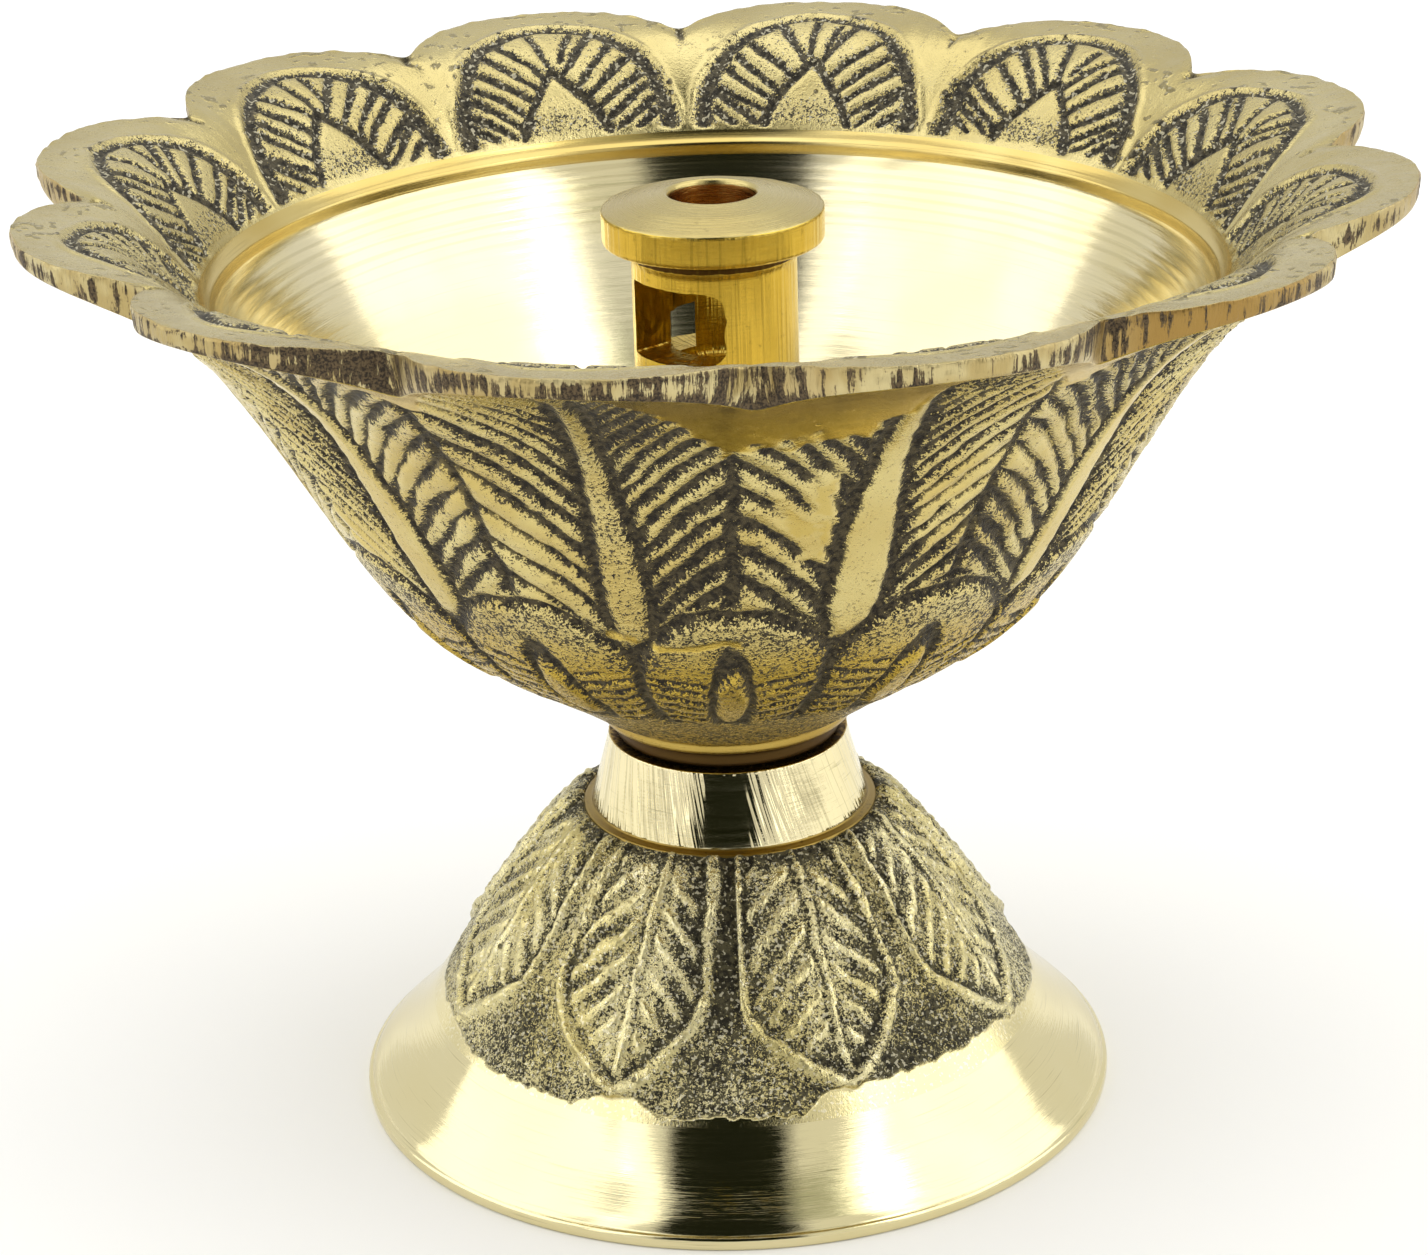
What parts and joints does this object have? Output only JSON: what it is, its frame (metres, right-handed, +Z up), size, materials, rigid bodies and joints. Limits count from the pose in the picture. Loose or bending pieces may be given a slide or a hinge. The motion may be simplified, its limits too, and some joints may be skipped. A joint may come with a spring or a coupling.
{
  "type": "oil lamp",
  "caption": "Footed brass oil lamp with a petal-rimmed bowl, leaf relief, hollow flared base and a screw-in turned wick holder.",
  "frame": {"origin": "centre of the flat ring that the foot stands on, at table height", "axes": "+Z up along the axis of the lamp; -Y is the side that the camera faces; -X is the viewer's left"},
  "size_m": [0.0986, 0.0986, 0.0726],
  "materials": {
    "cast_brass": "sand-cast leaf relief with dark brown patina in the recesses, polished high spots, machined foot and collar",
    "bowl_brass": "cast leaf relief outside and engraved petals inside with dark patina, lathe-turned bright interior, filed rim edge",
    "turned_brass": "lathe-turned from bar, fine tool marks, rough milled window"
  },
  "bodies": {
    "base": {"pedestal_base": "cast_brass"},
    "bowl": {"oil_bowl": "bowl_brass"},
    "wick_holder": {"wick_holder": "turned_brass"}
  },
  "joints": [
    {"name": "bowl_lift", "type": "slide", "parent": "base", "child": "bowl", "axis": [0, 0, 1], "range_m": [0, 0.02]},
    {"name": "wick_holder_lift", "type": "slide", "parent": "bowl", "child": "wick_holder", "axis": [0, 0, 1], "range_m": [0, 0.042]}
  ]
}
